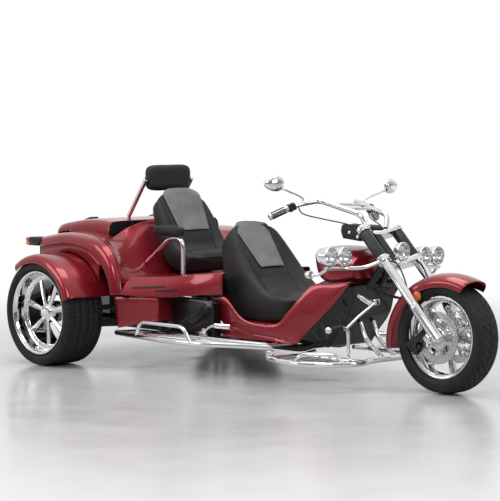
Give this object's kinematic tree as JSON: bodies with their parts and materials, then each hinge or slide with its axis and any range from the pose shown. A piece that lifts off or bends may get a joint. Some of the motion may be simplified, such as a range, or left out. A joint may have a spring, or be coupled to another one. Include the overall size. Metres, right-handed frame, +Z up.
{
  "type": "motor trike",
  "caption": "Low motor tricycle with a long raked chrome fork, rider bucket seat, raised passenger seat, wide rear wheels, foot rails and a hinged tail lid over a load space.",
  "frame": {"origin": "middle of the bounding box on the floor", "axes": "+X forward, +Y to the vehicle's left, +Z up"},
  "size_m": [3.2772, 1.777, 1.1889],
  "materials": {
    "body_paint": "metallic wine red, glossy",
    "chrome": "mirror polished",
    "black_steel": "satin black",
    "leather": "satin black with grey inserts",
    "tyre": "matte black rubber",
    "black_plastic": "satin black",
    "fork_grey": "dark grey satin",
    "alloy": "cast, satin",
    "disc_steel": "brushed",
    "lens": "clear"
  },
  "bodies": {
    "chassis": {"frame": "black_steel", "steering_head": "black_steel", "engine": "alloy", "final_drive": "alloy", "rear_arms": "black_steel", "rear_dampers": "chrome", "rear_body": "body_paint", "vents": "black_plastic", "rear_shoulders": "body_paint", "rear_valance": "body_paint", "trunk_tub": "black_plastic", "lid_hinges": "black_steel", "rear_fenders": "body_paint", "mid_body": "body_paint", "side_panels": "body_paint", "side_boxes": "black_plastic", "front_body": "body_paint", "under_cover": "black_plastic", "down_tubes": "chrome", "rider_seat": "leather", "passenger_seat": "leather", "headrest": "leather", "headrest_stays": "chrome", "armrest_frames": "chrome", "armrest_pads": "leather", "footboards": "chrome", "front_hoop": "chrome", "foot_controls": "chrome", "handbrake": "chrome", "tail_lamps": "black_plastic", "plate_bracket": "alloy", "exhaust": "chrome"},
    "fork": {"yokes": "chrome", "fork_legs": "chrome", "fork_covers": "fork_grey", "front_axle": "chrome", "calipers": "black_steel", "handlebar": "chrome", "grips": "black_plastic", "mirrors": "chrome", "instrument_pod": "black_plastic", "lamp_bar": "chrome", "headlamps": "chrome", "headlamp_lenses": "lens", "turn_signals": "chrome", "front_fender": "body_paint"},
    "front_wheel": {"front_tyre": "tyre", "front_rim": "chrome", "front_discs": "disc_steel"},
    "rear_wheel_right": {"rear_tyre_right": "tyre", "rear_rim_right": "chrome"},
    "rear_wheel_left": {"rear_tyre_left": "tyre", "rear_rim_left": "chrome"},
    "tail_lid": {"trunk_lid": "body_paint", "lid_pins": "black_steel"}
  },
  "joints": [
    {"name": "steering", "type": "hinge", "parent": "chassis", "child": "fork", "pos_m": [1.33214, 0, 0.29424], "axis": [-0.7071, 0, 0.7071], "range_deg": [-29.9, 23.1]},
    {"name": "front_wheel_spin", "type": "hinge", "parent": "fork", "child": "front_wheel", "pos_m": [1.33849, 0.00053, 0.30059], "axis": [-0.0419, 0.9982, -0.0419], "continuous": true},
    {"name": "rear_wheel_right_spin", "type": "hinge", "parent": "chassis", "child": "rear_wheel_right", "pos_m": [-1.1685, -0.735, 0.316], "axis": [0, 1, 0], "continuous": true},
    {"name": "rear_wheel_left_spin", "type": "hinge", "parent": "chassis", "child": "rear_wheel_left", "pos_m": [-1.1685, 0.735, 0.316], "axis": [0, 1, 0], "continuous": true},
    {"name": "tail_lid_hinge", "type": "hinge", "parent": "chassis", "child": "tail_lid", "pos_m": [-1.4005, 0, 0.852], "axis": [0, 1, 0], "range_deg": [0, 70]}
  ]
}
